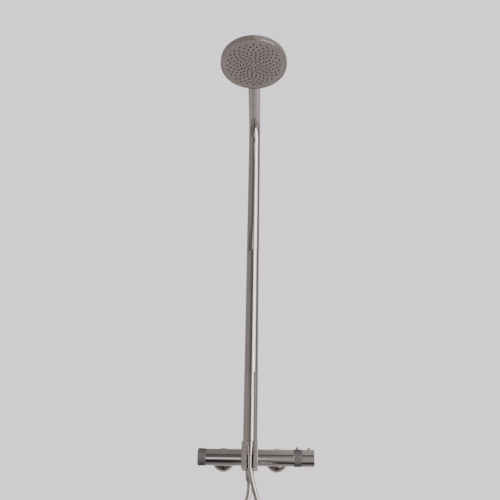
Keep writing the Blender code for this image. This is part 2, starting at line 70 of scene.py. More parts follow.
# Sizes that repeat the CAD model's, in millimetres
BAR_OUT = 66.0
BAR_R = 21.5
BAR_LEFT = -120.0
BAR_RIGHT = 119.5
KNURL_R = 22.5
FLOW_KNOB_END = -141.0
RING_END = 139.0
RING_PEG = (129.0, 3.8, 28.5)
KNOB_R = 22.0
KNOB_END = 174.0
END_DISC_R = 18.7
BUTTON = (161.0, 3.5, 27.0)
FLANGE_R = 32.0
FLANGE_H = 19.0
INLET_X = 75.0
BLOCK_W = 43.0
BLOCK_BACK = 38.0
BLOCK_FRONT = 134.0
BLOCK_TOP = 33.5
BLOCK_BOTTOM = -32.0
HOLDER_OUT = 121.0
HOLDER_X = 1.5
SLOT_W = 17.4
RISER_R = 20.0
RISER_IN = 18.5
SEAM_Z = 624.0
ARM_Z = 1128.0
ARM_END = 452.0
BEND_R = 86.0
BRACKET_Z = 595.0
HEAD_OUT = 428.0
HEAD_R = 100.0
FACE_Z = 1073.0
RIM_H = 17.0
BALL_R = 9.0
HANDSET_R = 13.0
HANDSET_TOP = 219.0
NUT_TOP_R = 11.9
NUT_LOW_R = 9.0
NUT_LOW = -1.0
OUTLET_NUT_LOW = -60.0
OUTLET_FERRULE_LOW = -64.0
FERRULE_R = 7.6
HOSE_R = 7.0
COIL_R = 70.0
COIL_Z = -222.0
COIL_BACK = 81.0
COIL_PITCH = 15.5
COIL_FRONT = COIL_BACK + 2 * COIL_PITCH

CAMERA_LENS = 39.76
CAMERA_PLACE = (0.0265, -1.6602, -0.1757)
CAMERA_TURN = (1.30, 26.88, 1.01)  # yaw, pitch and roll, in degrees

OUTLET_ROUTE = [
    (0.0, -66.0, -64.3),
    (0.0, -66.0, -78.0),
    (-4.0, -66.0, -101.0),
    (-20.0, -66.0, -136.0),
    (-45.0, -66.0, -166.0),
    (-64.0, -66.0, -195.0),
    (-70.0, -66.0, -222.0),
]
HANDSET_ROUTE = [
    (70.0, -127.0, -222.0),
    (66.0, -127.0, -196.0),
    (51.0, -127.0, -164.0),
    (33.0, -126.0, -134.0),
    (20.0, -124.0, -104.0),
    (8.0, -122.5, -64.0),
    (2.6, -121.3, -38.0),
    (1.6, -121.0, -18.0),
    (1.5, -121.0, -4.3),
]


# ---------------- camera

def camera():
    """The photograph's view: from low down in front, looking up at the head."""
    data = bpy.data.cameras.new("camera")
    data.sensor_width = 36.0
    data.lens = CAMERA_LENS
    data.clip_end = 50.0
    made = bpy.data.objects.new("camera", data)
    bpy.context.collection.objects.link(made)
    yaw, pitch, roll = (math.radians(angle) for angle in CAMERA_TURN)
    turn = (
        Matrix.Rotation(yaw, 4, "Z")
        @ Matrix.Rotation(math.pi / 2 + pitch, 4, "X")
        @ Matrix.Rotation(roll, 4, "Z")
    )
    made.matrix_world = Matrix.Translation(CAMERA_PLACE) @ turn
    bpy.context.scene.camera = made


# ---------------- materials

def add_node(tree, kind, values=None, **settings):
    """A node with its settings made and its inputs filled or linked."""
    node = tree.nodes.new(kind)
    for key, value in settings.items():
        setattr(node, key, value)
    for key, value in (values or {}).items():
        if isinstance(value, bpy.types.NodeSocket):
            tree.links.new(value, node.inputs[key])
        else:
            node.inputs[key].default_value = value
    return node


def mix_colours(tree, factor, a, b):
    a, b = (
        colour if isinstance(colour, bpy.types.NodeSocket) else (*colour, 1.0)
        for colour in (a, b)
    )
    return add_node(
        tree, "ShaderNodeMix", {0: factor, 6: a, 7: b}, data_type="RGBA"
    ).outputs[2]


class Nodes:
    """A small helper that adds nodes to a material and links them."""

    def __init__(self, name):
        self.material = bpy.data.materials.new(name)
        self.material.use_nodes = True
        self.tree = self.material.node_tree
        self.shader = self.tree.nodes["Principled BSDF"]

    def add(self, kind, values=None, **settings):
        return add_node(self.tree, kind, values, **settings)

    def set(self, **values):
        names = {
            "colour": "Base Color",
            "metallic": "Metallic",
            "roughness": "Roughness",
            "normal": "Normal",
            "coat": "Coat Weight",
            "coat_roughness": "Coat Roughness",
        }
        for key, value in values.items():
            socket = self.shader.inputs[names[key]]
            if isinstance(value, bpy.types.NodeSocket):
                self.tree.links.new(value, socket)
            else:
                socket.default_value = value

    def place(self, scale=(1.0, 1.0, 1.0)):
        """Coordinates in the object's own metres, stretched per axis."""
        coords = self.add("ShaderNodeTexCoord")
        return self.add(
            "ShaderNodeMapping", {"Vector": coords.outputs["Object"], "Scale": scale}
        ).outputs["Vector"]

    def noise(self, place, scale, detail=3.0, roughness=0.5):
        return self.add(
            "ShaderNodeTexNoise",
            {"Vector": place, "Scale": scale, "Detail": detail, "Roughness": roughness},
        ).outputs["Fac"]

    def spread(self, value, low, high, from_low=0.3, from_high=0.7):
        """A value mapped from one range onto another."""
        return self.add(
            "ShaderNodeMapRange",
            {
                "Value": value,
                "From Min": from_low,
                "From Max": from_high,
                "To Min": low,
                "To Max": high,
            },
        ).outputs["Result"]

    def mix(self, factor, a, b):
        return mix_colours(self.tree, factor, a, b)

    def bump(self, height, strength, distance):
        return self.add(
            "ShaderNodeBump",
            {"Height": height, "Strength": strength, "Distance": distance},
        ).outputs["Normal"]


BRUSH = {"X": (0.02, 1.0, 1.0), "Y": (1.0, 0.02, 1.0), "Z": (1.0, 1.0, 0.02)}


def polished(name, along, base=(0.60, 0.565, 0.545), rough=(0.09, 0.16), lines=0.006):
    """Polished stainless steel with faint drawing lines along an axis and a few smears."""
    made = Nodes(name)
    fine = made.noise(made.place(BRUSH[along]), 1400.0, 4.0, 0.6)
    cloud = made.noise(made.place(), 34.0, 4.0, 0.6)
    dark = tuple(c * 0.90 for c in base)
    made.set(
        colour=made.mix(made.spread(cloud, 0.0, 1.0), dark, base),
        metallic=1.0,
        roughness=made.spread(
            made.add(
                "ShaderNodeMath",
                {0: fine, 1: made.spread(cloud, -0.15, 0.15)},
                operation="ADD",
            ).outputs["Value"],
            *rough,
        ),
        normal=made.bump(fine, lines, 0.0002),
    )
    return made.material


def flange_with_painted_reflection(name):
    """The wall flanges: a polished dome painted dark, with a satin lip around it painted pale. The
    dome's dark is painted reflection and shade from the bar. The lip's pale is a painted reflection
    of a light wall.
    """
    made = Nodes(name)
    place = made.place()
    fine = made.noise(place, 1400.0, 3.0, 0.6)
    cloud = made.noise(place, 60.0, 3.0, 0.6)
    parts = made.add("ShaderNodeSeparateXYZ", {0: place}).outputs
    across = made.add(
        "ShaderNodeMath", {0: parts["X"]}, operation="ABSOLUTE"
    ).outputs[0]
    from_axis = made.add(
        "ShaderNodeMath", {0: across, 1: INLET_X * MM}, operation="SUBTRACT"
    ).outputs[0]
    radius = made.add(
        "ShaderNodeVectorMath",
        {0: made.add("ShaderNodeCombineXYZ", {"X": from_axis, "Z": parts["Z"]}).outputs[0]},
        operation="LENGTH",
    ).outputs["Value"]
    # The lip's ring: rougher, and coloured pale as a painted reflection of a light wall
    lip = made.spread(radius, 0.0, 1.0, 0.0268, 0.0285)
    # The dome's dark colour is painted reflection and shade, not the steel's own colour
    dome = made.mix(made.spread(cloud, 0.0, 1.0), (0.23, 0.185, 0.172), (0.29, 0.24, 0.225))
    made.set(
        colour=made.mix(lip, dome, (0.86, 0.83, 0.83)),
        metallic=0.9,
        roughness=made.spread(
            made.add("ShaderNodeMath", {0: lip, 1: fine}, operation="ADD").outputs[0],
            0.14, 0.46, 0.4, 1.6,
        ),
        normal=made.bump(fine, 0.03, 0.0002),
    )
    return made.material


def satin(name, along, base, rough):
    """Bead-blasted and lightly brushed steel: matt, with a fine even grain."""
    made = Nodes(name)
    fine = made.noise(made.place(), 900.0, 3.0, 0.7)
    brushed = made.noise(made.place(BRUSH[along]), 1100.0, 3.0, 0.6)
    cloud = made.noise(made.place(), 22.0, 3.0, 0.5)
    both = made.add(
        "ShaderNodeMath", {0: fine, 1: brushed}, operation="ADD"
    ).outputs["Value"]
    made.set(
        colour=made.mix(
            made.spread(cloud, 0.0, 1.0), tuple(c * 0.92 for c in base), base
        ),
        metallic=0.92,
        roughness=made.spread(both, rough - 0.05, rough + 0.05, 0.7, 1.3),
        normal=made.bump(both, 0.12, 0.0003),
    )
    return made.material


def knurled_finish(name):
    made = Nodes(name)
    fine = made.noise(made.place(), 1500.0, 3.0, 0.6)
    wear = made.noise(made.place(), 120.0, 3.0, 0.6)
    made.set(
        colour=made.mix(
            made.spread(wear, 0.0, 1.0), (0.155, 0.157, 0.158), (0.225, 0.225, 0.226)
        ),
        metallic=0.75,
        roughness=made.spread(fine, 0.40, 0.56),
        normal=made.bump(fine, 0.15, 0.0002),
    )
    return made.material


def rubber(name, base=(0.05, 0.048, 0.046)):
    made = Nodes(name)
    fine = made.noise(made.place(), 1200.0, 3.0, 0.6)
    cloud = made.noise(made.place(), 60.0, 3.0, 0.5)
    made.set(
        colour=made.mix(
            made.spread(cloud, 0.0, 1.0), tuple(c * 0.7 for c in base), base
        ),
        roughness=made.spread(fine, 0.50, 0.68),
        normal=made.bump(fine, 0.2, 0.0002),
    )
    return made.material


def plastic(name):
    made = Nodes(name)
    cloud = made.noise(made.place(), 80.0, 3.0, 0.5)
    made.set(
        colour=made.mix(
            made.spread(cloud, 0.0, 1.0), (0.70, 0.70, 0.67), (0.78, 0.78, 0.75)
        ),
        roughness=made.spread(cloud, 0.42, 0.55),
    )
    return made.material


def hose_finish(name):
    """Silver plastic hose: glossy clear skin over a bright metallic layer."""
    made = Nodes(name)
    cloud = made.noise(made.place(), 90.0, 3.0, 0.6)
    fine = made.noise(made.place(), 1800.0, 2.0, 0.5)
    made.set(
        colour=made.mix(
            made.spread(cloud, 0.0, 1.0), (0.60, 0.575, 0.53), (0.68, 0.655, 0.61)
        ),
        metallic=0.9,
        roughness=made.spread(fine, 0.18, 0.26),
        normal=made.bump(fine, 0.015, 0.0002),
        coat=0.6,
        coat_roughness=0.06,
    )
    return made.material


# ---------------- shapes

def soften(profile, radius, closed, count=3):
    """Rounds a profile's corners. Each corner becomes an arc, kept to a part of its two edges."""
    made = []
    total = len(profile)
    for i, (r, h) in enumerate(profile):
        if not closed and i in (0, total - 1):
            made.append((r, h))
            continue
        here = Vector((r, h))
        before = Vector(profile[i - 1])
        after = Vector(profile[(i + 1) % total])
        a, b = before - here, after - here
        if a.length < 1e-6 or b.length < 1e-6:
            made.append((r, h))
            continue
        turn = math.pi - a.angle(b)
        if turn < math.radians(12):
            made.append((r, h))
            continue
        reach = min(radius * math.tan(turn / 2), 0.42 * a.length, 0.42 * b.length)
        start, end = here + a.normalized() * reach, here + b.normalized() * reach
        for k in range(count + 1):
            t = k / count
            point = (
                start * (1 - t) ** 2 + here * 2 * t * (1 - t) + end * t**2
            )
            made.append((point.x, point.y))
    return made


def seat(axis, at):
    """Turns a piece's own Z onto an axis and moves it to a place in millimetres."""
    turn = {
        "X": Matrix.Rotation(math.pi / 2, 4, "Y"),
        "Y": Matrix.Rotation(-math.pi / 2, 4, "X"),
        "Z": Matrix.Identity(4),
    }[axis]
    return Matrix.Translation(Vector(at) * MM) @ turn


def finish_mesh(name, mesh, material, body, nodes, place=None, weighted=True):
    mesh.validate()
    if place is not None:
        mesh.transform(place)
    for polygon in mesh.polygons:
        polygon.use_smooth = True
    mesh.set_sharp_from_angle(angle=math.radians(50))
    made = bpy.data.objects.new(name, mesh)
    bpy.context.collection.objects.link(made)
    mesh.materials.append(material)
    if weighted:
        normal = made.modifiers.new("even_shading", "WEIGHTED_NORMAL")
        normal.keep_sharp = True
    if body:
        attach(made, body)
        if nodes:
            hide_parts(*nodes)
    return made


def finished(name, work):
    """The mesh that was built up in work, its faces all turned outwards."""
    bmesh.ops.recalc_face_normals(work, faces=work.faces)
    mesh = bpy.data.meshes.new(name)
    work.to_mesh(mesh)
    work.free()
    return mesh


def lathe_mesh(name, profile, steps, shape=None):
    """A profile of (radius, height) turned about Z. shape(radius, height, angle) may move a point's
    radius."""
    closed = profile[0][0] > 1e-6 or profile[-1][0] > 1e-6
    work = bmesh.new()
    rings = []
    for r, h in profile:
        if r < 1e-6:
            rings.append([work.verts.new((0.0, 0.0, h * MM))])
            continue
        row = []
        for k in range(steps):
            angle = 2 * math.pi * k / steps
            radius = shape(r, h, angle) if shape else r
            row.append(
                work.verts.new(
                    (radius * MM * math.cos(angle), radius * MM * math.sin(angle), h * MM)
                )
            )
        rings.append(row)
    pairs = list(zip(rings, rings[1:]))
    if closed:
        pairs.append((rings[-1], rings[0]))
    for a, b in pairs:
        for k in range(steps):
            n = (k + 1) % steps
            if len(a) == 1 and len(b) == 1:
                break
            if len(a) == 1:
                work.faces.new((a[0], b[k], b[n]))
            elif len(b) == 1:
                work.faces.new((a[k], b[0], a[n]))
            else:
                work.faces.new((a[k], b[k], b[n], a[n]))
    return finished(name, work)


def turned(
    name, profile, material, body, nodes, axis="Z", at=(0, 0, 0), steps=96,
    edge=0.5, shape=None,
):
    closed = profile[0][0] > 1e-6 or profile[-1][0] > 1e-6
    soft = soften(profile, edge, closed) if edge else profile
    mesh = lathe_mesh(name, soft, steps, shape)
    return finish_mesh(name, mesh, material, body, nodes, seat(axis, at))


def disc(radius, low, high):
    return [(0.0, high), (radius, high), (radius, low), (0.0, low)]


def ring(inner, outer, low, high):
    return [(inner, high), (outer, high), (outer, low), (inner, low)]


def box_mesh(name, low, high, bevel=0.0, segments=3):
    work = bmesh.new()
    bmesh.ops.create_cube(work, size=1.0)
    size = [b - a for a, b in zip(low, high)]
    middle = [(a + b) / 2 for a, b in zip(low, high)]
    for vertex in work.verts:
        vertex.co = Vector([c * s + m for c, s, m in zip(vertex.co, size, middle)]) * MM
    if bevel:
        bmesh.ops.bevel(
            work,
            geom=list(work.edges),
            offset=bevel * MM,
            segments=segments,
            profile=0.5,
            affect="EDGES",
        )
    mesh = bpy.data.meshes.new(name)
    work.to_mesh(mesh)
    work.free()
    return mesh


def cut(mesh, *cutters):
    """The mesh with the cutter meshes taken out of it."""
    body = bpy.data.objects.new("cut_body", mesh)
    bpy.context.collection.objects.link(body)
    tools = []
    for cutter in cutters:
        tool = bpy.data.objects.new("cut_tool", cutter)
        bpy.context.collection.objects.link(tool)
        tools.append(tool)
        step = body.modifiers.new("cut", "BOOLEAN")
        step.operation = "DIFFERENCE"
        step.solver = "EXACT"
        step.object = tool
    bpy.context.view_layer.update()
    evaluated = body.evaluated_get(bpy.context.evaluated_depsgraph_get())
    made = bpy.data.meshes.new_from_object(evaluated)
    for leftover in (body, *tools):
        bpy.data.objects.remove(leftover)
    return made


def placed(mesh, axis, at):
    mesh.transform(seat(axis, at))
    return mesh


def smooth_path(route, spacing):
    """Evenly spaced points on a Catmull-Rom curve through a route."""
    ends = [
        Vector(route[0]) * 2 - Vector(route[1]),
        Vector(route[-1]) * 2 - Vector(route[-2]),
    ]
    knots = [ends[0], *map(Vector, route), ends[1]]
    fine = []
    for i in range(1, len(knots) - 2):
        a, b, c, d = knots[i - 1 : i + 3]
        for k in range(40):
            t = k / 40
            fine.append(
                0.5
                * (
                    2 * b
                    + (c - a) * t
                    + (2 * a - 5 * b + 4 * c - d) * t * t
                    + (3 * b - a - 3 * c + d) * t**3
                )
            )
    fine.append(knots[-2])
    total = sum((q - p).length for p, q in zip(fine, fine[1:]))
    count = max(2, round(total / spacing))
    made, walked, reach = [fine[0]], 0.0, total / count
    for p, q in zip(fine, fine[1:]):
        step = (q - p).length
        while walked + step >= reach * len(made) - 1e-6 and len(made) < count:
            made.append(p.lerp(q, (reach * len(made) - walked) / step))
        walked += step
    return made + [fine[-1]]


def tube_mesh(name, points, radius, sides):
    """A tube along points in millimetres, its sides carried along without twist."""
    work = bmesh.new()
    across = None
    rows = []
    for i, point in enumerate(points):
        along = (
            points[min(i + 1, len(points) - 1)] - points[max(i - 1, 0)]
        ).normalized()
        if across is None:
            across = along.orthogonal().normalized()
        across = (across - along * across.dot(along)).normalized()
        other = along.cross(across)
        rows.append(
            [
                work.verts.new(
                    (
                        point
                        + across * radius * math.cos(2 * math.pi * k / sides)
                        + other * radius * math.sin(2 * math.pi * k / sides)
                    )
                    * MM
                )
                for k in range(sides)
            ]
        )
    for a, b in zip(rows, rows[1:]):
        for k in range(sides):
            n = (k + 1) % sides
            work.faces.new((a[k], a[n], b[n], b[k]))
    work.faces.new(rows[0][::-1])
    work.faces.new(rows[-1])
    return finished(name, work)


# ---------------- hose

def hose_points():
    """The hose's whole line: outlet run, two and a half turns of coil, handset run."""
    spacing = 4.0
    points = smooth_path(OUTLET_ROUTE, spacing)
    start_y = -OUTLET_ROUTE[-1][1]
    end_y = -HANDSET_ROUTE[0][1]
    turns = 3.0 - 0.5
    count = round(turns * 2 * math.pi * COIL_R / spacing)
    for i in range(1, count):
        turn = turns * i / count
        angle = math.pi + 2 * math.pi * turn
        if turn < 0.25:
            out = start_y + (COIL_BACK - start_y) * blend_in(turn / 0.25)
        elif turn > 2.25:
            out = COIL_FRONT + (end_y - COIL_FRONT) * blend_in((turn - 2.25) / 0.25)
        else:
            out = COIL_BACK + COIL_PITCH * (turn - 0.25)
        points.append(
            Vector(
                (
                    COIL_R * math.cos(angle),
                    -out,
                    COIL_Z + COIL_R * math.sin(angle),
                )
            )
        )
    return points + smooth_path(HANDSET_ROUTE, spacing)


def blend_in(t):
    return t * t * (3 - 2 * t)


def hose():
    points = hose_points()
    mesh = tube_mesh("shower_hose", points, HOSE_R, 24)
    made = finish_mesh(
        "shower_hose", mesh, hose_finish("hose_silver"), None, None, weighted=False
    )
    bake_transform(made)
    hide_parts("hose_outlet_run", "hose_coil", "hose_handset_run")
    coil_tie()


def coil_tie():
    """A strap around the coil's turns at their lowest point, its corners round."""
    reach = HOSE_R + GAP
    middle = ((COIL_BACK + COIL_FRONT) / 2, COIL_Z - COIL_R)
    half = ((COIL_FRONT - COIL_BACK) / 2 + reach + 1.7, reach + 1.7)
    corner, sides = 6.5, 8
    line = []
    for quarter in range(4):
        sy, sz = ((1, 1), (-1, 1), (-1, -1), (1, -1))[quarter]
        for k in range(sides + 1):
            angle = math.pi / 2 * (quarter + k / sides)
            line.append(
                (
                    sy * (half[0] - corner) + corner * math.cos(angle),
                    sz * (half[1] - corner) + corner * math.sin(angle),
                )
            )
    work = bmesh.new()
    rows = []
    section = [(-7.0, -0.8), (-7.6, -0.3), (-7.6, 0.3), (-7.0, 0.8),
               (7.0, 0.8), (7.6, 0.3), (7.6, -0.3), (7.0, -0.8)]
    total = len(line)
    for i, (y, z) in enumerate(line):
        before, after = Vector(line[i - 1]), Vector(line[(i + 1) % total])
        along = (after - before).normalized()
        out = Vector((along.y, -along.x))
        rows.append(
            [
                work.verts.new(
                    (
                        x * MM,
                        -(middle[0] + y + out.x * t) * MM,
                        (middle[1] + z + out.y * t) * MM,
                    )
                )
                for x, t in section
            ]
        )
    for i in range(total):
        a, b = rows[i], rows[(i + 1) % total]
        for k in range(len(section)):
            n = (k + 1) % len(section)
            work.faces.new((a[k], a[n], b[n], b[k]))
    mesh = finished("hose_strap", work)
    return finish_mesh(
        "hose_strap", mesh, rubber("strap_rubber"), "column", ["coil_tie"]
    )


# ---------------- mixer

def mixer(steel_x):
    bar_at = (0.0, -BAR_OUT, 0.0)
    turned(
        "mixer_bar",
        [
            (17.0, BAR_RIGHT),
            (BAR_R, BAR_RIGHT),
            (BAR_R, BAR_LEFT),
            (16.0, BAR_LEFT),
            (16.0, -60.0),
            (8.0, -60.0),
            (8.0, 50.0),
            (17.0, 50.0),
        ],
        steel_x,
        "column",
        ["mixer_body"],
        "X",
        bar_at,
        steps=128,
        edge=0.8,
    )


def block():
    body = box_mesh(
        "holder_block",
        (-BLOCK_W / 2, -BLOCK_FRONT, BLOCK_BOTTOM),
        (BLOCK_W / 2, -BLOCK_BACK, BLOCK_TOP),
        bevel=1.2,
    )
    bar_at = (0.0, -BAR_OUT, 0.0)
    slope = (NUT_TOP_R - NUT_LOW_R) / (BLOCK_TOP - NUT_LOW)
    mouth = BLOCK_TOP + 10.0
    cone = [
        (0.0, mouth),
        (NUT_LOW_R + GAP + slope * (mouth - NUT_LOW), mouth),
        (NUT_LOW_R + GAP, NUT_LOW),
        (NUT_LOW_R + GAP, -60.0),
        (0.0, -60.0),
    ]
    mesh = cut(
        body,
        placed(lathe_mesh("c", disc(BAR_R + GAP, -40.0, 40.0), 96), "X", bar_at),
        placed(lathe_mesh("c", disc(10.5, -60.0, 0.0), 64), "Z", bar_at),
        placed(lathe_mesh("c", cone, 64), "Z", (HOLDER_X, -HOLDER_OUT, 0.0)),
        box_mesh(
            "c",
            (HOLDER_X - SLOT_W / 2, -BLOCK_FRONT - 10.0, BLOCK_BOTTOM - 10.0),
            (HOLDER_X + SLOT_W / 2, -HOLDER_OUT, BLOCK_TOP + 10.0),
        ),
    )
    finish_mesh(
        "holder_block",
        mesh,
        satin("block_satin", "Z", (0.49, 0.458, 0.44), 0.36),
        "column",
        ["centre_block"],
    )


def knurled_band(name, low, high, inner, at, body, nodes, material):
    """A ring with a fine diamond knurl around its outside, between two plain lips."""
    steps, rows, diamonds = 384, 56, 96
    lip, depth = 1.5, 0.42
    pitch = 2 * math.pi / diamonds
    start, end = low + lip, high - lip

    def shape(r, h, angle):
        if r < KNURL_R - 0.01 or h <= start or h >= end:
            return r
        lead = (h - start) / KNURL_R
        a = abs(((angle + lead) / pitch) % 1.0 - 0.5) * 2
        b = abs(((angle - lead) / pitch) % 1.0 - 0.5) * 2
        return r - depth * (1.0 - min(a, b) ** 0.7)

    outer = [(KNURL_R, start + (end - start) * k / rows) for k in range(rows + 1)]
    profile = [
        (inner, low),
        (KNURL_R - 0.7, low),
        (KNURL_R - 0.2, low + 0.4),
        (KNURL_R - 0.2, start - 0.2),
        *outer,
        (KNURL_R - 0.2, end + 0.2),
        (KNURL_R - 0.2, high - 0.4),
        (KNURL_R - 0.7, high),
        (inner, high),
    ]
    mesh = lathe_mesh(name, profile, steps, shape)
    return finish_mesh(
        name, mesh, material, body, nodes, seat("X", at), weighted=False
    )


def controls(steel_x):
    at = (0.0, -BAR_OUT, 0.0)
    grey = knurled_finish("knurl_grey")
    # The pins' steel colour is drawn at about half the brightness of the other steel
    dark = polished("peg_steel_drawn_darker", "Z", (0.33, 0.312, 0.302), (0.16, 0.26))
    knurled_band(
        "flow_grip", FLOW_KNOB_END, BAR_LEFT - GAP, END_DISC_R + GAP, at,
        "flow_control", ["flow_knob"], grey,
    )
    turned(
        "flow_cap",
        [
            (0.0, FLOW_KNOB_END + 3.0),
            (END_DISC_R, FLOW_KNOB_END + 3.0),
            (END_DISC_R, FLOW_KNOB_END + 0.3),
            (13.0, FLOW_KNOB_END + 0.3),
            (12.4, FLOW_KNOB_END + 0.7),
            (0.0, FLOW_KNOB_END + 0.7),
        ][::-1],
        steel_x, "flow_control", ["flow_end_disc"], "X", at, edge=0.4,
    )
    knurled_band(
        "diverter_grip", BAR_RIGHT + GAP, RING_END, 14.9, at,
        "diverter", ["diverter_ring"], grey,
    )
    x, r, top = RING_PEG
    turned(
        "diverter_pin",
        [
            (0.0, top), (r - 1.8, top - 0.2), (r - 0.5, top - 1.0), (r, top - 2.2),
            (r, 17.9), (0.0, 17.9),
        ],
        dark, "diverter", ["diverter_peg"], "Z", (x, -BAR_OUT, 0.0),
        steps=48, edge=0.4,
    )
    x, r, top = BUTTON
    knob = lathe_mesh(
        "temperature_grip",
        soften(
            [
                (END_DISC_R + GAP, KNOB_END),
                (KNOB_R, KNOB_END),
                (KNOB_R, RING_END + GAP),
                (4.4, RING_END + GAP),
                (4.4, 169.0),
                (8.0, 169.0),
                (8.0, 147.0),
                (END_DISC_R + GAP, 147.0),
            ],
            0.9,
            True,
        ),
        128,
    )
    knob = cut(
        placed(knob, "X", at),
        placed(
            lathe_mesh("c", disc(r + GAP, 15.0, KNOB_R + 5.0), 48),
            "Z",
            (x, -BAR_OUT, 0.0),
        ),
    )
    finish_mesh(
        "temperature_grip", knob, steel_x, "temperature_control", ["temperature_knob"],
    )
    turned(
        "temperature_cap",
        [
            (0.0, KNOB_END - 3.0),
            (END_DISC_R, KNOB_END - 3.0),
            (END_DISC_R, KNOB_END - 0.3),
            (13.0, KNOB_END - 0.3),
            (12.4, KNOB_END - 0.7),
            (0.0, KNOB_END - 0.7),
        ],
        steel_x, "temperature_control", ["temperature_end_disc"], "X", at,
        edge=0.4,
    )
    turned(
        "stop_button",
        [
            (0.0, top), (r - 1.6, top - 0.2), (r - 0.4, top - 0.9), (r, top - 2.0),
            (r, 18.1), (4.8, 18.1), (4.8, 16.9), (0.0, 16.9),
        ],
        dark, "button", ["safety_button"], "Z", (x, -BAR_OUT, 0.0),
        steps=48, edge=0.3,
    )
    button_spring(dark, x)


def button_spring(steel, x):
    """The coil spring under the button, drawn at one length."""
    turns, per_turn, radius, wire = 4, 32, 2.6, 0.35
    low, high, travel = 8.8, 16.2, 2.0
    points = []
    for i in range(turns * per_turn + 1):
        angle = 2 * math.pi * i / per_turn
        points.append(
            Vector(
                (
                    x + radius * math.cos(angle),
                    -BAR_OUT + radius * math.sin(angle),
                    low + (high - low) * i / (turns * per_turn),
                )
            )
        )
    made = finish_mesh(
        "button_coil", tube_mesh("button_coil", points, wire, 10), steel,
        "temperature_control", ["safety_button_spring"], weighted=False,
    )
    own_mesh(made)


def supply(side, steel_y, flange_painted_reflection):
    label = "left" if side < 0 else "right"
    at = (side * INLET_X, 0.0, 0.0)
    dome = [
        (radius, -FLANGE_H + 16.0 - 16.0 * math.cos(turn))
        for radius, turn in (
            (17.6, 0.26), (19.4, 0.42), (21.4, 0.60), (23.5, 0.78), (25.6, 0.94),
            (27.6, 1.10), (29.4, 1.23), (30.8, 1.34),
        )
    ]
    turned(
        f"{label}_rosette",
        [
            (15.0, -FLANGE_H), (16.2, -FLANGE_H + 0.2), *dome, (31.7, -3.2), (32.0, -1.8),
            (FLANGE_R, 0.0), (28.7, 0.0), (28.7, -1.8), (22.4, -9.2), (15.0, -15.5),
        ],
        flange_painted_reflection, "column", [f"{label}_wall_flange"], "Y", at, edge=0.3,
    )

    def hexagon(r, h, angle):
        if r < 15.0:
            return r
        flat = 15.0 / math.cos((angle % (math.pi / 3)) - math.pi / 6)
        return min(r, flat)

    turned(
        f"{label}_supply_nut",
        [
            (13.2, -24.0), (15.6, -24.0), (17.3, -25.0), (17.3, -40.2), (15.6, -41.4),
            (11.1, -41.4), (11.1, -37.5), (13.2, -37.5),
        ],
        steel_y, "column", [f"{label}_union_nut"], "Y", at, steps=120,
        edge=0.25, shape=hexagon,
    )


# ---------------- riser

def riser(steel_z):
    at = (0.0, -BAR_OUT, 0.0)
    turned(
        "riser_lower_tube",
        ring(RISER_IN, RISER_R, BLOCK_TOP + GAP, SEAM_Z - 0.3),
        steel_z, "column", ["lower_riser"], "Z", at, steps=128, edge=0.35,
    )
    bend = [
        Vector(
            (
                0.0,
                -BAR_OUT - BEND_R * (1 - math.cos(math.radians(3 * i))),
                ARM_Z - BEND_R + BEND_R * math.sin(math.radians(3 * i)),
            )
        )
        for i in range(31)
    ]
    low = Vector((0.0, -BAR_OUT, SEAM_Z + 0.3))
    path = [low, low + Vector((0, 0, 0.35)), *bend, Vector((0.0, -ARM_END, ARM_Z))]
    mesh = bent_tube(
        "riser_upper_tube", path, [RISER_R - 0.35] + [RISER_R] * (len(path) - 1), 128
    )
    finish_mesh(
        "riser_upper_tube", mesh, steel_z, "column", ["upper_riser"],
        weighted=False,
    )
    turned(
        "arm_cap",
        [
            (0.0, -ARM_END + 10.0), (RISER_IN - GAP, -ARM_END + 10.0),
            (RISER_IN - GAP, -ARM_END - GAP), (RISER_R, -ARM_END - GAP),
            (RISER_R, -ARM_END - 1.6), (RISER_R - 1.4, -ARM_END - 3.0),
            (0.0, -ARM_END - 3.2),
        ],
        steel_z, "column", ["arm_end_plug"], "Y", (0.0, 0.0, ARM_Z), edge=0.6,
    )
    turned(
        "bracket_rosette",
        [(0.0, -6.0), (16.4, -6.0), (17.5, -4.8), (17.5, 0.0), (0.0, 0.0)],
        steel_z, "column", ["bracket_base"], "Y", (0.0, 0.0, BRACKET_Z),
        edge=0.4,
    )
    turned(
        "bracket_arm",
        [
            (0.0, -6.3), (9.0, -6.3), (9.0, -45.6), (3.3, -45.6), (3.3, -38.0),
            (0.0, -38.0),
        ],
        steel_z, "column", ["bracket_post"], "Y", (0.0, 0.0, BRACKET_Z),
        edge=0.4,
    )


def bent_tube(name, path, radii, sides):
    """A hollow tube along a path in the plane x = 0, open at both ends."""
    work = bmesh.new()
    outer, inner = [], []
    for i, point in enumerate(path):
        before, after = path[max(i - 1, 0)], path[min(i + 1, len(path) - 1)]
        along = (after - before).normalized()
        side = Vector((1.0, 0.0, 0.0))
        other = along.cross(side)
        for rows, r in ((outer, radii[i]), (inner, RISER_IN)):
            rows.append(
                [
                    work.verts.new(
                        (
                            point
                            + side * r * math.cos(2 * math.pi * k / sides)
                            + other * r * math.sin(2 * math.pi * k / sides)
                        )
                        * MM
                    )
                    for k in range(sides)
                ]
            )
    for k in range(sides):
        n = (k + 1) % sides
        for rows in (outer, inner):
            for a, b in zip(rows, rows[1:]):
                work.faces.new((a[k], a[n], b[n], b[k]))
        work.faces.new((outer[0][k], outer[0][n], inner[0][n], inner[0][k]))
        work.faces.new((outer[-1][k], outer[-1][n], inner[-1][n], inner[-1][k]))
    return finished(name, work)


# ---------------- the shower

NOZZLE_RINGS = [  # share of the face's radius, count, start in steps
    (0.79, 24, 0.0),
    (0.705, 24, 0.5),
    (0.60, 24, 0.0),
    (0.50, 24, 0.5),
    (0.40, 18, 0.0),
    (0.31, 12, 0.25),
    (0.225, 12, 0.5),
    (0.12, 6, 0.0),
]


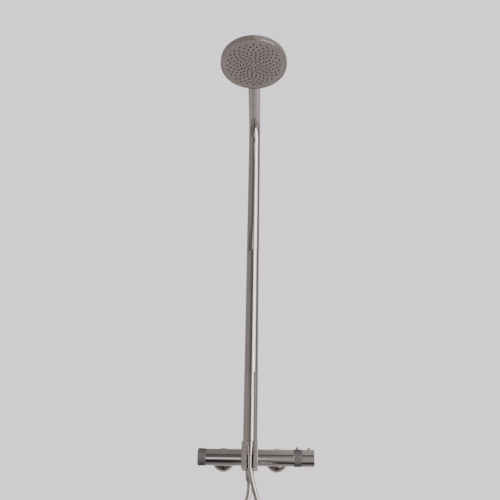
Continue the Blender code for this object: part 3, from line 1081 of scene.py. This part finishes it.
def rain_shower(steel_z):
    at = (0.0, -HEAD_OUT, FACE_Z)
    turned(
        "shower_shell",
        [
            (BALL_R + 0.4, 21.3), (16.5, 21.3), (17.0, 20.8), (17.6, 19.2), (24.0, 18.6),
            (60.0, RIM_H + 0.6), (HEAD_R - 4.0, RIM_H), (HEAD_R, RIM_H - 0.4),
            (HEAD_R, 0.0), (HEAD_R - 2.4, 0.0), (HEAD_R - 2.4, 10.0),
            (HEAD_R - 6.0, 12.6), (20.0, 14.0), (5.0, 14.0), (5.0, 15.6),
            (BALL_R + 0.4, 15.6),
        ],
        polished("shell_steel", "Z", (0.56, 0.527, 0.508), (0.05, 0.09)), "rain_head",
        ["head_shell"], "Z", at, steps=192, edge=0.6,
    )
    turned(
        "shower_face",
        [
            (0.0, 2.4), (HEAD_R - 2.7, 2.4), (HEAD_R - 2.7, 0.9), (HEAD_R - 3.5, 0.2),
            (0.0, 0.2),
        ],
        satin("face_satin", "X", (0.52, 0.485, 0.465), 0.42), "rain_head",
        ["head_face_plate"], "Z", at, steps=192, edge=0.3,
    )
    nozzles(at)
    turned(
        "joint_collar",
        [
            (8.1, 30.0), (13.0, 30.0), (14.0, 29.0), (14.0, 21.6), (BALL_R + 0.4, 21.6),
            (BALL_R + 0.4, 26.0),
        ],
        steel_z, "rain_head", ["ball_joint_nut"], "Z", at, edge=0.5,
    )


def nozzles(at):
    """Rubber nozzle tips: short cones with a round mouth, in rings on the face."""
    half, tip, mouth = 2.2, 1.75, 0.6
    section = [
        (half + 0.25, 0.6), (half + 0.1, 0.15), (half - 0.1, -0.25), (tip + 0.1, -1.0),
        (tip - 0.15, -1.25), (mouth + 0.1, -1.3), (mouth, -1.15), (mouth * 0.8, 0.0),
        (0.0, 0.1),
    ]
    sides = 14
    work = bmesh.new()
    for share, count, phase in NOZZLE_RINGS:
        for k in range(count):
            turn = 2 * math.pi * (k + phase) / count
            x = share * HEAD_R * math.cos(turn) + at[0]
            y = share * HEAD_R * math.sin(turn) + at[1]
            rows = []
            for r, h in section:
                if r == 0.0:
                    rows.append([work.verts.new((x * MM, y * MM, (at[2] + h) * MM))])
                    continue
                rows.append(
                    [
                        work.verts.new(
                            (
                                (x + r * math.cos(2 * math.pi * s / sides)) * MM,
                                (y + r * math.sin(2 * math.pi * s / sides)) * MM,
                                (at[2] + h) * MM,
                            )
                        )
                        for s in range(sides)
                    ]
                )
            work.faces.new(rows[0])
            for a, b in zip(rows, rows[1:]):
                for s in range(sides):
                    n = (s + 1) % sides
                    if len(b) == 1:
                        work.faces.new((a[s], a[n], b[0]))
                    else:
                        work.faces.new((a[s], a[n], b[n], b[s]))
    mesh = finished("nozzle_tips", work)
    finish_mesh(
        "nozzle_tips", mesh, rubber("nozzle_rubber", (0.018, 0.016, 0.015)), "rain_head",
        None,
        weighted=False,
    )


# ---------------- handset

def handset(steel_z):
    at = (HOLDER_X, -HOLDER_OUT, 0.0)
    body_top = HANDSET_TOP - 6.0
    grooves, pitch, wide, deep = 10, 6.3, 2.2, 0.8
    first = 153.0
    outer = []
    for i in reversed(range(grooves)):
        z = first + i * pitch
        for dz, dr in ((wide / 2 + 0.5, 0.0), (wide / 2, 0.12), (wide / 2 - 0.45, deep * 0.8),
                       (0.0, deep), (-wide / 2 + 0.45, deep * 0.8), (-wide / 2, 0.12),
                       (-wide / 2 - 0.5, 0.0)):
            outer.append((HANDSET_R - dr, z + dz))
    profile = [
        (10.5, body_top), (HANDSET_R - 0.3, body_top), (HANDSET_R, body_top - 0.3),
        *outer,
        (HANDSET_R, BLOCK_TOP + 1.0), (HANDSET_R - 0.7, BLOCK_TOP + GAP),
        (8.6, BLOCK_TOP + GAP), (8.6, 13.0), (5.0, 13.0), (5.0, 38.0), (10.5, 38.0),
    ]
    turned(
        "handset_tube", profile, steel_z, "handset", ["handset_body"], "Z", at,
        steps=96, edge=0,
    )
    turned(
        "handset_cap",
        [
            (9.2, HANDSET_TOP), (HANDSET_R, HANDSET_TOP), (HANDSET_R, body_top + GAP),
            (10.2, body_top + GAP), (10.2, body_top - 6.0), (9.2, body_top - 6.0),
        ],
        steel_z, "handset", ["handset_spray_cap"], "Z", at, edge=1.0,
    )
    spray_face(at)
    turned(
        "handset_cone",
        [
            (8.9, BLOCK_TOP - 0.2), (NUT_TOP_R, BLOCK_TOP - 0.2), (NUT_LOW_R, NUT_LOW),
            (FERRULE_R + GAP, NUT_LOW), (FERRULE_R + GAP, 8.0), (8.9, 8.0),
        ],
        steel_z, "handset", ["handset_nut"], "Z", at, edge=0.6,
    )
    turned(
        "handset_sleeve",
        [
            (4.0, 10.4), (8.6, 10.4), (8.6, 8.3), (FERRULE_R, 8.3), (FERRULE_R, -4.0),
            (4.0, -4.0),
        ],
        steel_z, "hose_end", ["handset_ferrule"], "Z", at, steps=64, edge=0.5,
    )


def spray_face(at):
    """The handset's spray face in its cap: a rubber disc with two rings of nozzles."""
    top = HANDSET_TOP - 1.6
    mesh = lathe_mesh(
        "spray_face", soften(disc(8.9, HANDSET_TOP - 8.0, top), 0.4, False), 64
    )
    work = bmesh.new()
    work.from_mesh(mesh)
    for radius, count in ((6.4, 12), (3.3, 6), (0.0, 1)):
        for k in range(count):
            turn = 2 * math.pi * k / count
            made = bmesh.ops.create_cone(
                work, cap_ends=True, segments=12, radius1=0.9 * MM, radius2=0.5 * MM,
                depth=1.0 * MM,
            )
            bmesh.ops.translate(
                work, verts=made["verts"],
                vec=Vector(
                    (radius * math.cos(turn), radius * math.sin(turn), top + 0.4)
                ) * MM,
            )
    work.to_mesh(mesh)
    work.free()
    finish_mesh(
        "spray_face", mesh, rubber("spray_rubber"), "handset",
        ["handset_spray_insert"], seat("Z", at), weighted=False,
    )


def outlet(steel_z):
    at = (0.0, -BAR_OUT, 0.0)
    turned(
        "outlet_collar",
        [
            (10.5, BLOCK_BOTTOM - 0.5), (11.5, BLOCK_BOTTOM - 0.5), (11.5, -50.0),
            (9.2, OUTLET_NUT_LOW), (FERRULE_R + GAP, OUTLET_NUT_LOW),
            (FERRULE_R + GAP, -50.5), (10.5, -50.0),
        ],
        steel_z, "column", ["outlet_nut"], "Z", at, edge=0.5,
    )
    turned(
        "outlet_sleeve",
        [
            (4.0, -47.5), (9.8, -47.5), (9.8, -49.6), (FERRULE_R, -49.6),
            (FERRULE_R, OUTLET_FERRULE_LOW), (4.0, OUTLET_FERRULE_LOW),
        ],
        steel_z, "column", ["outlet_ferrule"], "Z", at, steps=64, edge=0.6,
    )


# ---------------- CAD nodes that stay shown

def finish_cad_nodes(steel_z):
    looks = {
        "steel": steel_z,
        "satin_steel": satin("inner_satin", "Z", (0.46, 0.44, 0.415), 0.36),
        "knurled_grey": knurled_finish("inner_grey"),
        "brass": polished("brass", "Z", (0.62, 0.47, 0.22), (0.25, 0.38), 0.1),
        "rubber": rubber("inner_rubber"),
        "white_plastic": plastic("inner_plastic"),
        "hose": hose_finish("inner_hose"),
    }
    slots = node_slots()
    for name, node in frame["nodes"].items():
        if node.hide_render:
            continue
        look = looks[slots.get(name, "steel")]
        if node.material_slots:
            for slot in node.material_slots:
                slot.material = look
        else:
            node.data.materials.append(look)


def node_slots():
    """The finish of each CAD node that stays shown."""
    finishes = {
        "brass": (
            "flow_cartridge flow_spindle diverter_bush diverter_rotor "
            "thermostatic_cartridge temperature_spindle left_wall_union "
            "right_wall_union riser_spigot riser_coupling bracket_stud "
            "head_ball_stud stud_locknut outlet_nipple"
        ),
        "rubber": (
            "left_filter_washer right_filter_washer riser_base_o_ring "
            "lower_coupling_o_ring upper_coupling_o_ring nozzle_mat head_gasket "
            "handset_washer outlet_washer"
        ),
        "white_plastic": "left_check_valve right_check_valve handset_flow_regulator",
    }
    return {name: slot for slot, names in finishes.items() for name in names.split()}


# ---------------- the studio

FLOOR_HALF = 4.0
FLOOR_Z = -1.0


def studio():
    floor_mesh = bpy.data.meshes.new("floor")
    half, low = FLOOR_HALF, FLOOR_Z
    floor_mesh.from_pydata(
        [(-half, -half, low), (half, -half, low), (half, half, low), (-half, half, low)],
        [], [(0, 1, 2, 3)],
    )
    pale = Nodes("floor_pale")
    cloud = pale.noise(pale.place(), 3.0, 3.0)
    pale.set(
        colour=pale.mix(pale.spread(cloud, 0.0, 1.0), (0.88, 0.87, 0.88), (0.92, 0.91, 0.92)),
        roughness=0.85,
    )
    floor_mesh.materials.append(pale.material)
    floor = bpy.data.objects.new("floor", floor_mesh)
    bpy.context.collection.objects.link(floor)
    floor.visible_glossy = False
    world()
    softbox("key_softbox", (1.9, -1.9, 1.6), (0.0, -0.1, 0.5), (1.6, 1.6), 40.0)


def softbox(name, place, target, size, power):
    """A soft light that only lights: the reflections come from the world."""
    data = bpy.data.lights.new(name, "AREA")
    data.shape = "RECTANGLE"
    data.size, data.size_y = size
    data.energy = power
    data.color = (1.0, 0.985, 0.96)
    made = bpy.data.objects.new(name, data)
    bpy.context.collection.objects.link(made)
    made.location = place
    aim = Vector(target) - Vector(place)
    made.rotation_euler = aim.to_track_quat("-Z", "Y").to_euler()
    made.visible_camera = False
    made.visible_glossy = False


# The room that the steel reflects: brightness by direction. Around the horizon the angle goes from
# the back over the left, 0 in front, to the back over the right, in degrees.
ROOM_AROUND = [
    (-180, 0.56), (-150, 0.46), (-125, 0.43), (-100, 0.38), (-75, 0.36), (-58, 0.40),
    (-42, 0.34), (-25, 0.21), (-5, 0.15), (8, 0.17), (16, 0.60), (23, 2.60), (29, 3.95),
    (58, 3.95), (67, 1.60), (75, 0.38), (90, 0.26), (112, 0.36), (140, 0.72), (180, 0.84),
]
# Below the horizon, from straight behind (-180) over straight down (-90) to the front (0): a low
# cool strip over a dark floor on the left, and a wider dim one on the right
ROOM_BELOW_LEFT = [
    (-180, 0.82), (-155, 0.62), (-135, 0.44), (-118, 0.35), (-92, 0.30), (-80, 0.07),
    (-74, 0.03), (-43, 0.03), (-37, 0.25), (-32, 1.15), (-15, 1.25), (-9, 0.45),
    (-3, 0.16), (0, 0.15),
]
ROOM_BELOW_RIGHT = [
    (-180, 0.85), (-155, 0.66), (-135, 0.50), (-112, 0.40), (-100, 0.28), (-92, 0.05),
    (-72, 0.03), (-62, 0.30), (-46, 0.50), (-20, 0.46), (0, 0.46),
]
# Both of these are narrow. Further to either side the lower part is an even pale grey.
ROOM_BELOW_SIDES = [
    (-180, 0.84), (-155, 0.64), (-135, 0.48), (-112, 0.38), (-70, 0.30), (-30, 0.27),
    (0, 0.22),
]
# How far the room's lower part reaches up or down from the horizon, around the room: it stands
# higher beside the window, and the window runs down through it
ROOM_EDGE = [
    (-180, 0.0), (-3, 0.0), (2, 0.34), (13, 0.34), (21, -0.75), (62, -0.75), (72, 0.0),
    (180, 0.0),
]
ROOM_ABOVE_LEFT = 0.32
ROOM_ABOVE_RIGHT = 0.52
# Where one part turns into the next, as parts of a direction of length 1
CEILING_EDGE = (0.60, 0.68)  # of z
HORIZON_EDGE = (-0.03, -0.12)  # of z, less the room edge's height
STRIP_EDGE = (0.14, 0.24)  # of x, to either side
LEFT_TO_RIGHT = (-0.05, 0.06)  # of x
SIDES_REACH = 0.4  # of x, where the sides reach their full difference
SIDES_LEFT, SIDES_RIGHT = 0.80, 1.22
ROOM_TOP = 4.0  # the brightest value, which the ramps are a share of
WARM = (1.0, 0.915, 0.90)
COOL = (0.98, 0.96, 1.06)
BACKDROP = (1.36, 1.29, 1.36)


def world():
    """A pale backdrop for the camera. Reflections see a studio room instead: a dim part in front,
    a tall bright window to its right, a low strip over a dark floor, and pale walls."""
    made = bpy.data.worlds.new("studio")
    bpy.context.scene.world = made
    made.use_nodes = True
    tree = made.node_tree
    tree.nodes.clear()

    def add(kind, values=None, **settings):
        return add_node(tree, kind, values, **settings)

    def turn_share(across, along, low, high):
        """The angle of two parts of the direction, as a share from low to high degrees."""
        angle = add("ShaderNodeMath", {0: across, 1: along}, operation="ARCTAN2")
        return add(
            "ShaderNodeMapRange",
            {
                "Value": angle.outputs[0],
                "From Min": math.radians(low),
                "From Max": math.radians(high),
            },
        ).outputs["Result"]

    def ramp(share, table, low, high, tint=WARM, bright_tint=WARM):
        node = add("ShaderNodeValToRGB", {"Fac": share})
        elements = node.color_ramp.elements
        while len(elements) < len(table):
            elements.new(0.5)
        for element, (angle, value) in zip(elements, table):
            colour = bright_tint if value > 1.0 else tint
            element.position = (angle - low) / (high - low)
            element.color = (*[c * value / ROOM_TOP for c in colour], 1.0)
        return node.outputs["Color"]

    def mask(value, start, end):
        return add(
            "ShaderNodeMapRange",
            {"Value": value, "From Min": start, "From Max": end},
            interpolation_type="SMOOTHSTEP",
        ).outputs["Result"]

    def mix(factor, a, b):
        return mix_colours(tree, factor, a, b)

    coords = add("ShaderNodeTexCoord")
    split = add("ShaderNodeSeparateXYZ", {0: coords.outputs["Generated"]})
    x, y, z = (split.outputs[k] for k in "XYZ")
    front = add("ShaderNodeMath", {0: y, 1: -1.0}, operation="MULTIPLY").outputs[0]
    azimuth = turn_share(x, front, -180, 180)
    around = ramp(azimuth, ROOM_AROUND, -180, 180)
    drop = turn_share(z, front, -180, 0)
    left = ramp(drop, ROOM_BELOW_LEFT, -180, 0, bright_tint=COOL)
    right = ramp(drop, ROOM_BELOW_RIGHT, -180, 0)
    slant = add(
        "ShaderNodeMapRange",
        {
            "Value": x, "From Min": -SIDES_REACH, "From Max": SIDES_REACH,
            "To Min": SIDES_LEFT, "To Max": SIDES_RIGHT,
        },
    ).outputs["Result"]
    sides = add(
        "ShaderNodeVectorMath",
        {0: ramp(drop, ROOM_BELOW_SIDES, -180, 0), "Scale": slant},
        operation="SCALE",
    ).outputs["Vector"]
    to_right = mask(x, *LEFT_TO_RIGHT)
    across = add("ShaderNodeMath", {0: x}, operation="ABSOLUTE").outputs[0]
    aside = mask(across, *STRIP_EDGE)
    below = mix(aside, mix(to_right, left, right), sides)
    above = mix(
        to_right,
        tuple(c * ROOM_ABOVE_LEFT / ROOM_TOP for c in WARM),
        tuple(c * ROOM_ABOVE_RIGHT / ROOM_TOP for c in WARM),
    )
    # The edge's height is kept as a share from -1 to 1, because a ramp holds nothing below 0
    edges = [(angle, (height + 1.0) / 2.0 * ROOM_TOP) for angle, height in ROOM_EDGE]
    edge = ramp(azimuth, edges, -180, 180, (1.0, 1.0, 1.0), (1.0, 1.0, 1.0))
    height = add(
        "ShaderNodeMapRange", {"Value": edge, "To Min": -1.0, "To Max": 1.0}
    ).outputs["Result"]
    over = add(
        "ShaderNodeMath", {0: z, 1: height}, operation="SUBTRACT"
    ).outputs["Value"]
    room = mix(mask(z, *CEILING_EDGE), around, above)
    room = mix(mask(over, *HORIZON_EDGE), room, below)
    scaled = add(
        "ShaderNodeVectorMath", {0: room, "Scale": ROOM_TOP}, operation="SCALE"
    ).outputs["Vector"]
    path = add("ShaderNodeLightPath")
    seen = mix(path.outputs["Is Camera Ray"], scaled, BACKDROP)
    light = add("ShaderNodeBackground", {"Color": seen, "Strength": 1.0})
    out = add("ShaderNodeOutputWorld")
    tree.links.new(light.outputs[0], out.inputs["Surface"])


# ---------------- the build

camera()
hose()
STEEL_X = polished("steel_drawn_x", "X")
STEEL_Y = polished("steel_drawn_y", "Y")
STEEL_Z = polished("steel_drawn_z", "Z")
mixer(STEEL_X)
block()
controls(STEEL_X)
# The flanges' material: its dark dome and pale lip are painted reflection and shade
FLANGE_PAINTED_REFLECTION = flange_with_painted_reflection("flange_painted_reflection")
for side in (-1, 1):
    supply(side, STEEL_Y, FLANGE_PAINTED_REFLECTION)
riser(STEEL_Z)
rain_shower(STEEL_Z)
handset(STEEL_Z)
outlet(STEEL_Z)
finish_cad_nodes(STEEL_Z)
studio()
